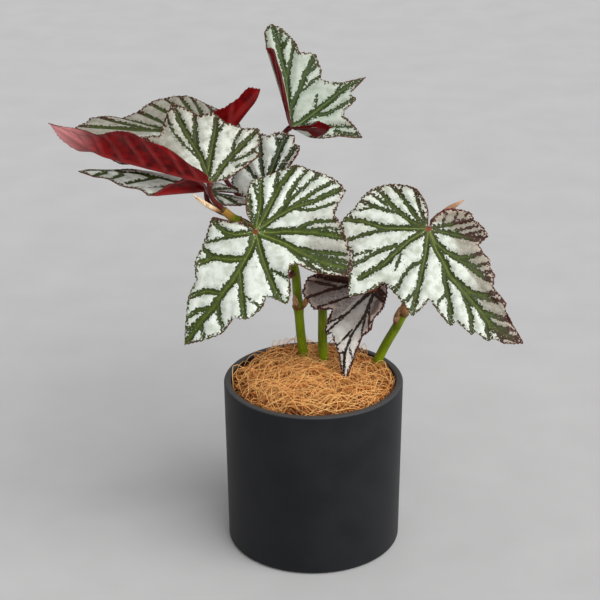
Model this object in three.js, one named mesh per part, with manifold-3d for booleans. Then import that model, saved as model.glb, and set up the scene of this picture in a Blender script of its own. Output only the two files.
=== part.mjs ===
// Potted rex begonia: a matt charcoal cover pot, potting mix under a coir mulch, three canes and
// eight painted leaves on their own stalks. Millimetres, +Z up, origin at the centre of the pot's base.
import * as THREE from 'three';
import { mergeVertices } from 'three/addons/utils/BufferGeometryUtils.js';
import Module from 'manifold-3d';

const wasm = await Module();
wasm.setup();

// ---------------------------------------------------------------- driving dimensions
const GAP = 0.3; // clear space left between neighbouring pieces
const FIT = 0.45; // the same all round inside the pot's many-sided wall

const POT_HEIGHT = 127;
const POT_RIM_RADIUS = 65;
const POT_BASE_RADIUS = 63.4;
const POT_WALL = 5.5;
const POT_FLOOR = 6;
const POT_BASE_FILLET = 3.2;
const POT_RIM_ROUNDING = 1.6;
const POT_SEGMENTS = 48;

const SOIL_TOP = 112;
const MULCH_EDGE = 124.5;
const MULCH_CROWN = 127;
const ROOTED_DEPTH_Z = 96; // the canes end here, inside the potting mix

const CANE_RADIUS = 3.3;
const NODE_SWELL = 0.9; // how far a leaf joint stands out of its cane
const STALK_RADIUS = 1.7;
const LEAF_THICKNESS = 0.9;

const CHARCOAL = 0x2b2b2d;
const SOIL_BROWN = 0x3a2a1e;
const COIR = 0xc48a52;
const CANE_GREEN = 0x6f9440;
const STALK_RED = 0x7d2a22;
const LEAF_GREEN = 0x9fb8a0;
const LEAF_SHADED = 0x7c8f84;
const LEAF_RED = 0x8e2530;
const PAPERY_TAN = 0xc98f5e;

const FACING = new THREE.Vector3(0.3, -1, 0.1).normalize(); // the way the flat sheaths look

// Canes: points along the axis, and the heights along it (0 foot, 1 tip) of the swollen joints.
const CANES = {
  cane_left: {
    axis: [[-5, 35, ROOTED_DEPTH_Z], [-6, 33, 121], [-9, 31, 148], [-11, 28, 176], [-14, 25, 205],
      [-21, 22, 219], [-36, 18, 232], [-54, 14, 244], [-63, 11, 253]],
    joints: [0.42, 0.92],
  },
  cane_middle: {
    axis: [[9, 23, ROOTED_DEPTH_Z], [8, 24, 122], [7, 25, 146], [7, 25, 170], [6, 26, 201], [4, 27, 228],
      [-1, 30, 244]],
    joints: [0.55],
  },
  cane_right: {
    axis: [[33, 24, ROOTED_DEPTH_Z], [44, 22, 123], [53, 20, 144], [63, 17, 165], [71, 15, 190],
      [79, 12, 218], [87, 10, 244], [90, 9, 249]],
    joints: [0.5, 0.96],
  },
};

// Leaves. base is where the stalk meets the blade, tip the way the midrib points and face the way the
// upper side looks. margin walks round the edge from one side of the stalk to the other: [angle from
// the midrib in degrees, distance from the base in mm, and how far that part of the blade is folded up
// about the midrib in degrees]. cup is how far the blade falls back from its face 100 mm out.
const LEAVES = {
  leaf_front_left: {
    base: [-40, -14, 246], tip: [-0.53, -0.43, -0.73], face: [-0.15, -0.8, 0.58], cup: 12, ruffle: 1.5,
    margin: [[-238, 14], [-233, 20], [-217, 38], [-203, 41], [-191, 49], [-182, 56], [-171, 58],
      [-156, 67], [-147, 69], [-140, 60], [-134, 56], [-121, 61], [-100, 72], [-95, 71], [-86, 50],
      [-83, 38], [-76, 36], [-69, 39], [-62, 49], [-55, 56], [-47, 49], [-41, 46], [-37, 53],
      [-26, 62], [-18, 62], [-13, 74], [-7, 81], [2, 92], [6, 83], [10, 74], [16, 65], [21, 53],
      [32, 48], [43, 40], [60, 35], [79, 33], [81, 26], [84, 17], [106, 10]],
  },
  leaf_right: {
    base: [80, -10, 246], tip: [0.63, -0.43, -0.65], face: [0.1, -0.78, 0.62], cup: 14, ruffle: 1.5,
    margin: [[-117, 7], [-104, 17], [-87, 27], [-75, 34], [-64, 34], [-46, 43], [-36, 37], [-30, 42],
      [-26, 48], [-20, 51], [-18, 56], [-10, 60], [-8, 75], [-5, 77], [-4, 84], [-2, 103], [5, 95],
      [7, 89], [11, 87], [14, 79], [17, 79], [22, 67], [26, 69], [32, 60], [39, 50], [50, 63],
      [59, 56], [66, 52], [79, 48], [81, 60], [88, 74], [101, 62], [110, 56], [124, 60], [134, 61],
      [146, 53], [162, 50], [183, 42], [203, 31], [220, 14]],
  },
  leaf_top: {
    base: [-16, 60, 298], tip: [-0.19, 0.43, 0.88], face: [0.1, -0.89, 0.45], cup: -6, ruffle: 1,
    margin: [[-100, 14, 86], [-80, 20, 86], [-60, 30, 86], [-40, 44, 85], [-28, 52, 82], [-18, 57, 80],
      [-11, 58, 70], [-7, 60, 30], [-5, 62], [-4, 72], [0, 76], [6, 72], [15, 62], [18, 55], [30, 57],
      [35, 52], [40, 48], [43, 42], [52, 44], [60, 50], [67, 66], [71, 50], [77, 53], [83, 42],
      [88, 40], [98, 46], [109, 53], [111, 36], [126, 15], [104, 36, 42], [94, 26, 42], [100, 20, 45]],
  },
  leaf_left: {
    base: [-72, 2, 276], tip: [-0.96, 0.16, 0.21], face: [0.23, 0.11, 0.97], cup: 0, ruffle: 0,
    margin: [[-76, 6, 48], [-64, 11, 48], [-53, 20, 48], [-45, 30, 48], [-39, 46, 48], [-37, 58, 46],
      [-33, 66, 46], [-30, 70, 46], [-23, 79, 46], [-17, 85, 46], [-14, 97, 46], [-12, 118, 46],
      [-5, 106, 30], [-3, 97, 20], [1, 92], [12, 72, 50], [22, 56, 60], [30, 50, 62], [37, 54, 62],
      [50, 64, 62], [55, 60, 62], [66, 51, 62], [77, 51, 62], [87, 46, 62], [105, 47, 62],
      [116, 52, 62], [126, 45, 62], [127, 40, 62], [133, 43, 62], [138, 33, 62], [144, 20, 62],
      [150, 12, 62]],
  },
  leaf_back_left: {
    base: [-71, 72, 275], tip: [-0.99, 0, 0.17], face: [0.16, -0.31, 0.94], cup: 6, ruffle: 1.5,
    margin: [[-116, 14, 98], [-115, 55, 98], [-113, 64, 98], [-106, 59, 98], [-102, 48, 98],
      [-92, 39, 98], [-68, 33, 92], [-58, 30, 60], [-42, 40, 15], [-20, 72, 3], [5, 105], [11, 99],
      [16, 99], [19, 92], [23, 79], [37, 75], [52, 77], [61, 76], [71, 74], [82, 67], [88, 59],
      [125, 30, 5], [165, 12, 20]],
  },
  leaf_lower_left: {
    base: [-76, 40, 257], tip: [-0.97, -0.11, 0.2], face: [0.2, 0.02, 0.98], cup: 4, ruffle: 1,
    margin: [[-178, 33], [-165, 35], [-152, 34], [-135, 26], [-112, 28], [-92, 24, 8], [-74, 28, 30],
      [-60, 36, 34], [-50, 46, 22], [-39, 58, 6], [-24, 56, 4], [-15, 53, 4], [-9, 65, 4], [0, 72, 4],
      [4, 85, 4], [6, 93], [11, 81], [17, 72], [24, 56], [46, 40], [65, 30], [102, 21], [125, 20],
      [142, 28], [154, 34], [168, 38]],
  },
  leaf_back_middle: {
    base: [-34, 24, 264], tip: [0.38, 0.32, 0.87], face: [-0.1, -0.92, 0.38], cup: 10, ruffle: 0,
    margin: [[-140, 14], [-118, 20], [-100, 25], [-86, 25], [-72, 24], [-43, 29], [-28, 40], [-18, 38],
      [-12, 41], [0, 43], [8, 43], [10, 39], [18, 39], [22, 34], [26, 22], [63, 20], [100, 22],
      [140, 12]],
  },
  leaf_hanging: {
    base: [44, 2, 196], tip: [-0.3, -0.21, -0.93], face: [-0.1, -0.96, 0.25], cup: 12, ruffle: 0,
    margin: [[-144, 9], [-99, 9], [-61, 11], [-32, 17], [-16, 21], [-13, 25], [-12, 30], [-3, 36],
      [-1, 52], [0, 72], [11, 55], [26, 45], [28, 49], [33, 47], [46, 34], [53, 47], [60, 49],
      [68, 53], [82, 49], [92, 36], [102, 21], [112, 9]],
  },
};

// Stalks: the cane each leaf grows from, and where on the cane's axis (0 foot, 1 tip; 1 is its end).
const STALKS = {
  leaf_front_left: ['cane_left', 0.58],
  leaf_right: ['cane_right', 0.82],
  leaf_top: ['cane_middle', 1],
  leaf_left: ['cane_left', 1],
  leaf_back_left: ['cane_left', 0.74],
  leaf_lower_left: ['cane_left', 0.86],
  leaf_back_middle: ['cane_left', 0.66],
  leaf_hanging: ['cane_right', 0.68],
};

// Papery sheaths at the joints and the pointed growing bud: points along the axis and half width.
const SHEATHS = {
  sheath_left_tip: { axis: [[-65.4, 7.3, 253], [-71.5, 5, 257], [-78, 4, 262], [-84, 3, 268]], width: 2.4 },
  sheath_left_joint: { axis: [[-12, 23.2, 172], [-13, 22.5, 178], [-14, 21, 184]], width: 2.2 },
  sheath_right_joint: { axis: [[66, 11.2, 170], [66.4, 10.6, 178], [69, 9.6, 188]], width: 3 },
  bud_right_tip: { axis: [[90.5, 8.8, 249.9], [96, 8, 255], [102, 6, 260], [108, 5, 265]], width: 2.6 },
};

// ---------------------------------------------------------------- helpers
const group = new THREE.Group();
group.name = 'potted_rex_begonia';
const vec = ([x, y, z]) => new THREE.Vector3(x, y, z);
const radians = THREE.MathUtils.degToRad;

function signedVolume(geometry) {
  const p = geometry.attributes.position;
  const index = geometry.index.array;
  const [a, b, c] = [new THREE.Vector3(), new THREE.Vector3(), new THREE.Vector3()];
  let volume = 0;
  for (let i = 0; i < index.length; i += 3) {
    a.fromBufferAttribute(p, index[i]);
    b.fromBufferAttribute(p, index[i + 1]);
    c.fromBufferAttribute(p, index[i + 2]);
    volume += a.dot(b.cross(c)) / 6;
  }
  return volume;
}

// Welds the seams of a geometry and turns its faces outwards.
function welded(geometry) {
  const bare = geometry.clone();
  bare.deleteAttribute('normal');
  bare.deleteAttribute('uv');
  const merged = mergeVertices(bare, 1e-4);
  const kept = [];
  const index = merged.index.array;
  for (let i = 0; i < index.length; i += 3) {
    const [a, b, c] = [index[i], index[i + 1], index[i + 2]];
    if (a !== b && b !== c && c !== a) kept.push(a, b, c);
  }
  merged.setIndex(kept);
  if (signedVolume(merged) < 0) {
    for (let i = 0; i < kept.length; i += 3) [kept[i], kept[i + 1]] = [kept[i + 1], kept[i]];
    merged.setIndex(kept);
  }
  return merged;
}

function fromTriangles(points, triangles) {
  const geometry = new THREE.BufferGeometry();
  geometry.setAttribute('position', new THREE.Float32BufferAttribute(points.flatMap((p) => p.toArray()), 3));
  geometry.setIndex(triangles);
  return welded(geometry);
}

function toManifold(geometry) {
  return new wasm.Manifold(new wasm.Mesh({
    numProp: 3,
    vertProperties: Float32Array.from(geometry.attributes.position.array),
    triVerts: Uint32Array.from(geometry.index.array),
  }));
}

function fromManifold(manifold) {
  const mesh = manifold.getMesh();
  const geometry = new THREE.BufferGeometry();
  geometry.setAttribute('position', new THREE.BufferAttribute(Float32Array.from(mesh.vertProperties), 3));
  geometry.setIndex([...mesh.triVerts]);
  return geometry;
}

function add(name, geometry, colour, roughness) {
  const finished = geometry.toNonIndexed();
  finished.computeVertexNormals();
  const material = new THREE.MeshStandardMaterial({ color: colour, roughness, metalness: 0 });
  material.name = name;
  const mesh = new THREE.Mesh(finished, material);
  mesh.name = name;
  group.add(mesh);
}

// A closed solid turned about Z from a profile of [radius, height] that starts and ends on the axis.
function turned(profile, segments) {
  const points = profile.map(([r, z]) => new THREE.Vector2(r, z));
  return welded(new THREE.LatheGeometry(points, segments).rotateX(Math.PI / 2));
}

// A closed solid along a smooth curve. size(u) gives its half width and its half thickness towards
// FACING, for u from 0 at the foot to 1 at the end.
function swept(curve, size, sides, steps) {
  const section = new THREE.Shape().absarc(0, 0, 1, 0, 2 * Math.PI);
  const tube = new THREE.ExtrudeGeometry(section, {
    extrudePath: curve, steps, curveSegments: sides / 2, bevelEnabled: false,
  });
  const centres = curve.getSpacedPoints(steps);
  const p = tube.attributes.position;
  const point = new THREE.Vector3();
  for (let i = 0; i < p.count; i += 1) {
    point.fromBufferAttribute(p, i);
    const reaches = centres.map((centre) => centre.distanceToSquared(point));
    const ring = reaches.indexOf(Math.min(...reaches));
    const [wide, thick] = size(ring / steps);
    point.sub(centres[ring]);
    const towards = point.dot(FACING);
    point.multiplyScalar(wide).addScaledVector(FACING, towards * (thick - wide)).add(centres[ring]);
    p.setXYZ(i, point.x, point.y, point.z);
  }
  return welded(tube);
}

// ---------------------------------------------------------------- canes
const caneCurve = (name) => new THREE.CatmullRomCurve3(CANES[name].axis.map(vec), false, 'centripetal');

function caneRadius(name, u) {
  const swell = CANES[name].joints
    .map((joint) => Math.exp(-(((u - joint) / 0.022) ** 2)))
    .reduce((a, b) => a + b, 0);
  const taper = 0.35 - 0.7 * u;
  return CANE_RADIUS + taper + NODE_SWELL * swell;
}

// ---------------------------------------------------------------- pot, soil, mulch
function arc(cx, cz, radius, from, to, count) {
  const points = [];
  for (let i = 0; i <= count; i += 1) {
    const angle = radians(from + ((to - from) * i) / count);
    points.push([cx + radius * Math.cos(angle), cz + radius * Math.sin(angle)]);
  }
  return points;
}

const innerTop = POT_RIM_RADIUS - POT_WALL;
const innerBase = POT_BASE_RADIUS - POT_WALL;
const innerRadius = (z) => innerBase + ((innerTop - innerBase) * (z - POT_FLOOR)) / (POT_HEIGHT - POT_FLOOR);

add('pot', turned([
  [0, 0],
  ...arc(POT_BASE_RADIUS - POT_BASE_FILLET, POT_BASE_FILLET, POT_BASE_FILLET, -90, 0, 4),
  ...arc(POT_RIM_RADIUS - POT_RIM_ROUNDING, POT_HEIGHT - POT_RIM_ROUNDING, POT_RIM_ROUNDING, 0, 90, 3),
  ...arc(innerTop + POT_RIM_ROUNDING, POT_HEIGHT - POT_RIM_ROUNDING, POT_RIM_ROUNDING, 90, 180, 3),
  [innerBase, POT_FLOOR + 4],
  [innerBase - 4, POT_FLOOR],
  [0, POT_FLOOR],
], POT_SEGMENTS), CHARCOAL, 0.62);

// What is left of a solid once the canes that go down through it have their own room.
function withCaneHoles(geometry) {
  let body = toManifold(geometry);
  for (const name of Object.keys(CANES)) {
    const curve = caneCurve(name);
    const foot = curve.getPoint(0).addScaledVector(curve.getTangent(0), -GAP);
    const above = curve.getPointAt(0.3);
    const room = new THREE.CatmullRomCurve3([foot, curve.getPointAt(0.1), curve.getPointAt(0.2), above]);
    const wide = CANE_RADIUS + 0.5 + GAP;
    body = body.subtract(toManifold(swept(room, () => [wide, wide], 10, 6)));
  }
  return fromManifold(body);
}

add('potting_mix', withCaneHoles(turned([
  [0, POT_FLOOR + GAP],
  [innerBase - 4 - FIT, POT_FLOOR + GAP],
  [innerBase - FIT, POT_FLOOR + 4 + GAP],
  [innerRadius(SOIL_TOP) - FIT, SOIL_TOP],
  [0, SOIL_TOP],
], 32)), SOIL_BROWN, 0.95);

// The mulch is a low uneven mound with a dip at the back left. Its heights wander as loose fibre does.
function mulchHeight(x, y) {
  const reach = Math.hypot(x, y) / innerTop;
  const mound = MULCH_CROWN + (MULCH_EDGE - MULCH_CROWN) * reach ** 2;
  const lumps = Math.sin(x * 0.23 + 1.1) * Math.cos(y * 0.19 - 0.4) + 0.6 * Math.sin((x - y) * 0.37 + 2.0);
  const dip = 4 * Math.exp(-(((x + 42) / 14) ** 2) - ((y - 34) / 12) ** 2);
  return mound + 0.7 * lumps - dip;
}

const mulchRadius = innerRadius(SOIL_TOP) - FIT;
const mulch = turned([
  [0, SOIL_TOP + GAP],
  [mulchRadius, SOIL_TOP + GAP],
  ...[1, 0.8, 0.55, 0.3, 0].map((reach) => [mulchRadius * reach, MULCH_EDGE]),
], 28);
const mulchPoints = mulch.attributes.position;
for (let i = 0; i < mulchPoints.count; i += 1) {
  if (mulchPoints.getZ(i) === MULCH_EDGE) {
    mulchPoints.setZ(i, mulchHeight(mulchPoints.getX(i), mulchPoints.getY(i)));
  }
}
add('coir_mulch', withCaneHoles(mulch), COIR, 0.95);

for (const name of Object.keys(CANES)) {
  const size = (u) => [caneRadius(name, u), caneRadius(name, u)];
  add(name, swept(caneCurve(name), size, 10, 34), CANE_GREEN, 0.45);
}

// ---------------------------------------------------------------- leaves
function leafFrame(leaf) {
  const tip = vec(leaf.tip).normalize();
  const face = vec(leaf.face);
  face.addScaledVector(tip, -face.dot(tip)).normalize();
  return { base: vec(leaf.base), tip, face, side: new THREE.Vector3().crossVectors(tip, face) };
}

function spokeDirection({ tip, face, side }, angle, lift) {
  const a = radians(angle);
  const f = radians(lift);
  return new THREE.Vector3()
    .addScaledVector(tip, Math.cos(a))
    .addScaledVector(side, Math.sin(a) * Math.cos(f))
    .addScaledVector(face, Math.abs(Math.sin(a)) * Math.sin(f));
}

// The straight lines from the stalk to the margin that a blade is drawn with, no two of them
// further apart than the widest step. turn is the angle of each one in the blade laid flat.
function spokes(leaf, widest) {
  const frame = leafFrame(leaf);
  const list = [];
  let turn = 0;
  const { margin } = leaf;
  for (let i = 0; i < margin.length; i += 1) {
    const [angle, length, lift = 0] = margin[i];
    const [nextAngle, nextLength, nextLift = 0] = margin[Math.min(i + 1, margin.length - 1)];
    const here = spokeDirection(frame, angle, lift);
    const there = spokeDirection(frame, nextAngle, nextLift);
    const count = Math.max(1, Math.ceil(THREE.MathUtils.radToDeg(here.angleTo(there)) / widest));
    for (let k = 0; k < count; k += 1) {
      const u = k / count;
      const eased = u * u * (3 - 2 * u);
      const bend = lift + (nextLift - lift) * eased;
      const direction = spokeDirection(frame, angle + (nextAngle - angle) * u, bend);
      if (list.length > 0) turn += direction.angleTo(list[list.length - 1].direction);
      list.push({ direction, length: length + (nextLength - length) * u, turn });
    }
  }
  return { frame, list };
}

function bladePoint(leaf, frame, spoke, reach) {
  const out = spoke.length * reach;
  const fall = leaf.cup * (out / 100) ** 2;
  const wave = leaf.ruffle * reach ** 3 * Math.sin(7 * spoke.turn);
  return frame.base.clone()
    .addScaledVector(spoke.direction, out)
    .addScaledVector(frame.face, wave - fall);
}

const REACHES = [0.3, 0.55, 0.8, 1];

// The middle surface of a blade and its upward normals: [0] is the base, then one row per spoke.
function bladeSheet(leaf, widest) {
  const { frame, list } = spokes(leaf, widest);
  const grid = list.map((spoke) => REACHES.map((reach) => bladePoint(leaf, frame, spoke, reach)));
  const normals = grid.map((row, i) => row.map((point, j) => {
    const before = grid[Math.max(i - 1, 0)][j];
    const after = grid[Math.min(i + 1, grid.length - 1)][j];
    const inner = j === 0 ? frame.base : row[j - 1];
    const around = after.clone().sub(before);
    const outward = point.clone().sub(inner);
    return around.cross(outward).normalize();
  }));
  const mean = new THREE.Vector3();
  list.forEach((spoke, i) => {
    if (i > 0) mean.addScaledVector(normals[i][0], spoke.turn - list[i - 1].turn);
  });
  return { frame, grid, normals, up: mean.normalize() };
}

function leafSolid(leaf) {
  const { frame, grid, normals, up } = bladeSheet(leaf, 16);
  const rings = REACHES.length;
  const rows = grid.length;
  const half = LEAF_THICKNESS / 2;
  const points = [];
  for (const side of [half, -half]) {
    points.push(frame.base.clone().addScaledVector(up, side));
    grid.forEach((row, i) => row.forEach((p, j) => {
      points.push(p.clone().addScaledVector(normals[i][j], side));
    }));
  }
  const under = 1 + rows * rings;
  const at = (i, j) => (j < 0 ? 0 : 1 + i * rings + j);
  const triangles = [];
  const both = (a, b, c) => triangles.push(a, b, c, under + a, under + c, under + b);
  for (let i = 0; i < rows - 1; i += 1) {
    both(0, at(i + 1, 0), at(i, 0));
    for (let j = 0; j < rings - 1; j += 1) {
      both(at(i, j), at(i + 1, j), at(i + 1, j + 1));
      both(at(i, j), at(i + 1, j + 1), at(i, j + 1));
    }
  }
  const edge = [0];
  for (let j = 0; j < rings; j += 1) edge.push(at(0, j));
  for (let i = 1; i < rows; i += 1) edge.push(at(i, rings - 1));
  for (let j = rings - 2; j >= 0; j -= 1) edge.push(at(rows - 1, j));
  edge.forEach((a, k) => {
    const b = edge[(k + 1) % edge.length];
    triangles.push(a, b, under + b, a, under + b, under + a);
  });
  return fromTriangles(points, triangles);
}

const leafColours = {
  leaf_left: LEAF_RED, leaf_hanging: LEAF_SHADED, leaf_back_middle: LEAF_SHADED, leaf_lower_left: LEAF_SHADED,
};
for (const [name, leaf] of Object.entries(LEAVES)) {
  add(name, leafSolid(leaf), leafColours[name] ?? LEAF_GREEN, 0.5);
}

// ---------------------------------------------------------------- stalks
// Each stalk leaves its cane square on, or carries on from the cane's end, and meets the underside
// of its blade square on too.
function stalkCurve(name) {
  const leaf = LEAVES[name];
  const [caneName, place] = STALKS[name];
  const cane = caneCurve(caneName);
  const { up } = bladeSheet(leaf, 16);
  const end = vec(leaf.base).addScaledVector(up, -(LEAF_THICKNESS / 2 + GAP));
  const axisPoint = cane.getPointAt(place);
  const along = cane.getTangentAt(place);
  let leaving = along;
  let start = axisPoint.clone().addScaledVector(along, GAP);
  if (place < 1) {
    const toLeaf = end.clone().sub(axisPoint);
    leaving = toLeaf.addScaledVector(along, -toLeaf.dot(along)).normalize();
    start = axisPoint.clone().addScaledVector(leaving, caneRadius(caneName, place) + GAP);
  }
  const pull = 0.42 * start.distanceTo(end);
  return new THREE.CubicBezierCurve3(
    start,
    start.clone().addScaledVector(leaving, pull),
    end.clone().addScaledVector(up, -pull),
    end,
  );
}

for (const name of Object.keys(STALKS)) {
  const thickness = (u) => STALK_RADIUS + 0.5 * (1 - u) ** 3;
  add(name.replace('leaf', 'stalk'), swept(stalkCurve(name), (u) => [thickness(u), thickness(u)], 8, 9),
    STALK_RED, 0.5);
}

// ---------------------------------------------------------------- papery sheaths and the growing bud
for (const [name, sheath] of Object.entries(SHEATHS)) {
  const curve = new THREE.CatmullRomCurve3(sheath.axis.map(vec));
  const wide = (u) => sheath.width * (0.25 + 0.75 * Math.sin(Math.PI * (0.22 + 0.78 * u))) + 0.1;
  const thin = (u) => 0.5 + 0.5 * Math.sin(Math.PI * (0.2 + 0.8 * u));
  add(name, swept(curve, (u) => [wide(u), thin(u)], 8, 6), PAPERY_TAN, 0.7);
}

export default group;
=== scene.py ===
# %% [markdown]
# # A potted rex begonia
# The plant stands in a plain charcoal cover pot: eight painted leaves on red stalks, three green
# canes and a mound of coconut fibre. The solid model of the same plant is loaded first as a fixed
# frame, and every piece made here stands where its solid stands. Lengths are typed in millimetres
# and become metres when a mesh is made.

# %% Load the frame
import math

import bmesh
import bpy
import numpy as np
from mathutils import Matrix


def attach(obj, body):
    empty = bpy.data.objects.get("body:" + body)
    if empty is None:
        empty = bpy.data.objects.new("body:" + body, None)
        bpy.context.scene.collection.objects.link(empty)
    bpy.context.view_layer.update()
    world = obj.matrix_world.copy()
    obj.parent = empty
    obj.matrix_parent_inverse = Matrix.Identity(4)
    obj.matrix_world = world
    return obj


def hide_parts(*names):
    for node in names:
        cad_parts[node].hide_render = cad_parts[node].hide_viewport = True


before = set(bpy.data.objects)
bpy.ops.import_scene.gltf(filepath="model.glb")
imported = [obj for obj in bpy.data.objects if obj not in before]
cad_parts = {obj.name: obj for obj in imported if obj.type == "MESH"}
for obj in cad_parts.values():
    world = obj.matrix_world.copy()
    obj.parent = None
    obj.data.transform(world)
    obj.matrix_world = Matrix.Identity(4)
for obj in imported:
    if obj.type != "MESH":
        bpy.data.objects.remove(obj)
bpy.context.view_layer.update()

MM = 0.001
scene = bpy.context.scene
print("solids in the frame:", len(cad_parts))

# %% [markdown]
# ## The camera
# The photographer stood about 1.3 m away and looked down on the rim of the pot through a long lens,
# which keeps the pot's sides nearly parallel. The roll is turned before the tilt. With the camera
# made first, every later step can be looked at from its place.

# %% Camera
CAMERA_PLACE = (-9.5, -1182.0, 688.9)
CAMERA_TILT = 67.06
CAMERA_ROLL = -0.27
LENS = 108.0
SENSOR_WIDTH = 36.0

camera = bpy.data.objects.new("camera", bpy.data.cameras.new("camera"))
camera.data.lens = LENS
camera.data.sensor_width = SENSOR_WIDTH
camera.location = [x * MM for x in CAMERA_PLACE]
camera.rotation_mode = "ZYX"
camera.rotation_euler = (math.radians(CAMERA_TILT), 0, math.radians(CAMERA_ROLL))
scene.collection.objects.link(camera)
scene.camera = camera

# %% [markdown]
# ## A grid for every skin
# A leaf blade, a stalk and a strip of papery sheath are all thin skins or tubes: sheets of squares
# that are bent into place. One operator makes the sheet, and a formula moves its corners. Where a
# sheet closes on itself, as in a tube or where a leaf meets its stalk, the corners that meet are
# merged and open ends are filled. Numbers that a finish needs, such as the distance to a vein, are
# stored on the corners by name.

# %% Grid helpers
MERGE_DISTANCE = 0.001 * MM


def mesh_from(bm, name):
    mesh = bpy.data.meshes.new(name)
    bm.to_mesh(mesh)
    bm.free()
    return mesh


def grid_mesh(name, points, fields):
    """A mesh from a grid whose corner (i, j) stands at points[i, j], in millimetres."""
    across, along = points.shape[0] - 1, points.shape[1] - 1
    bm = bmesh.new()
    bmesh.ops.create_grid(bm, x_segments=across, y_segments=along, size=0.5)
    i = np.array([round((v.co.x + 0.5) * across) for v in bm.verts])
    j = np.array([round((v.co.y + 0.5) * along) for v in bm.verts])
    mesh = mesh_from(bm, name)
    mesh.vertices.foreach_set("co", (points[i, j] * MM).ravel())
    for field, values in fields.items():
        store(mesh, field, np.broadcast_to(values, points.shape[:2])[i, j])
    return mesh


def store(mesh, field, values):
    """Keeps one number for each corner of a mesh under a name that a material can read."""
    layer = mesh.attributes.new(field, "FLOAT", "POINT")
    layer.data.foreach_set("value", np.ascontiguousarray(values, np.float32))


def sewn(mesh, fill):
    """Merges corners that lie on each other and, if fill is true, closes open ends."""
    bm = bmesh.new()
    bm.from_mesh(mesh)
    bmesh.ops.remove_doubles(bm, verts=bm.verts, dist=MERGE_DISTANCE)
    if fill:
        bmesh.ops.holes_fill(bm, edges=bm.edges, sides=0)
        bmesh.ops.recalc_face_normals(bm, faces=bm.faces)
    bm.to_mesh(mesh)
    bm.free()
    return mesh


def shown(name, mesh, materials, slot, *nodes):
    """Puts a finished mesh in the scene in place of its solids."""
    mesh.shade_smooth()
    for material in materials:
        mesh.materials.append(material)
    piece = bpy.data.objects.new(name, mesh)
    scene.collection.objects.link(piece)
    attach(piece, "root")
    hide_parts(*nodes)
    print(name, "has", len(mesh.polygons), "faces")
    return piece


def thickened(piece, thickness):
    """Gives a skin its thickness, half of it to each side."""
    solidify = piece.modifiers.new("thickness", "SOLIDIFY")
    solidify.thickness = thickness * MM
    solidify.offset = 0.0
    return solidify


# %% [markdown]
# ## Lines through the plant
# Canes grow in smooth bends, so a few given points with a spline through them are enough. The
# centripetal kind never loops between unevenly spaced points. A tube is a grid rolled round the
# line: one direction is carried along and kept square to the line, so that the tube doesn't twist.

# %% Lines and tubes
SPLINE_STEPS = 40


def unit(vector):
    vector = np.asarray(vector, float)
    return vector / np.linalg.norm(vector, axis=-1, keepdims=True)


def step_lengths(line):
    return np.linalg.norm(np.diff(line, axis=0), axis=1)


def walked(line):
    """How far along a line each of its points is."""
    return np.concatenate([[0], np.cumsum(step_lengths(line))])


def evenly(line, count):
    """The same line with its points at even distances."""
    along = walked(line)
    places = np.linspace(0, along[-1], count)
    return np.stack([np.interp(places, along, line[:, axis]) for axis in range(3)], axis=1)


def spline(points, count):
    """A centripetal spline through the points."""
    p = np.array(points, float)
    p = np.vstack([2 * p[0] - p[1], p, 2 * p[-1] - p[-2]])
    gaps = step_lengths(p) ** 0.5
    u = np.linspace(0, 1, SPLINE_STEPS, endpoint=False)[:, None]
    pieces = []
    for k in range(1, len(p) - 2):
        before, here, after = gaps[k - 1:k + 2]
        chord = p[k + 1] - p[k]
        leaving = (p[k] - p[k - 1]) / before - (p[k + 1] - p[k - 1]) / (before + here) + chord / here
        arriving = chord / here - (p[k + 2] - p[k]) / (here + after) + (p[k + 2] - p[k + 1]) / after
        pieces.append(
            (2 * u**3 - 3 * u**2 + 1) * p[k]
            + (u**3 - 2 * u**2 + u) * here * leaving
            + (3 * u**2 - 2 * u**3) * p[k + 1]
            + (u**3 - u**2) * here * arriving
        )
    return evenly(np.vstack(pieces + [p[-2:-1]]), count)


def tangents(line):
    return unit(np.gradient(line, axis=0))


def carried(line, first):
    """A direction square to the line at each of its points, with no twist."""
    along = tangents(line)
    across = np.zeros_like(line)
    now = np.array(first, float)
    for k, direction in enumerate(along):
        now = unit(now - direction * (now @ direction))
        across[k] = now
    return across, np.cross(along, across)


def all_round(sides):
    """The directions of the sides of a tube, with the first one again at the end."""
    return np.linspace(0, 2 * math.pi, sides + 1)[:, None]


def tube(name, line, radius, fields):
    """A closed tube round a line. radius has a row for each side and a column for each point."""
    across, other = carried(line, (0.3, -1, 0.1))
    turn = all_round(len(radius) - 1)[:, :, None]
    around = np.cos(turn) * other[None] + np.sin(turn) * across[None]
    return sewn(grid_mesh(name, line[None] + radius[:, :, None] * around, fields), fill=True)


# %% [markdown]
# ## A short way to write a material
# Every finish here is procedural: noise, distances and ramps make a colour, a roughness and a bump.
# A finish makes its nodes with short calls, and what a node gives out can be added, multiplied, cut
# off with a soft step or used as the share in which two colours are mixed.


# %% Material helpers
def maths(operation):
    """A method that adds a Math node."""
    return lambda wire, other: wire.finish.node("Math", {0: wire, 1: other}, operation=operation)


class Wire:
    """What a node gives out. Sums and products of wires add the nodes that work them out."""

    __add__, __sub__, __mul__ = maths("ADD"), maths("SUBTRACT"), maths("MULTIPLY")
    most, least = maths("MAXIMUM"), maths("MINIMUM")

    def __init__(self, finish, socket):
        self.finish, self.socket = finish, socket

    def rest(self):
        """What is missing to 1."""
        return self * -1.0 + 1.0

    def step(self, low, high):
        """0 below low, 1 above high and a soft step between them. High may be the smaller."""
        if low > high:
            return self.step(high, low).rest()
        inputs = {"Value": self, "From Min": low, "From Max": high}
        return self.finish.node("MapRange", inputs, interpolation_type="SMOOTHSTEP")

    def mix(self, a, b):
        """Colour a where the wire is 0 and colour b where it is 1."""
        return self.finish.node("Mix", {0: self, 6: a, 7: b}, output=2, data_type="RGBA")


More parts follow.
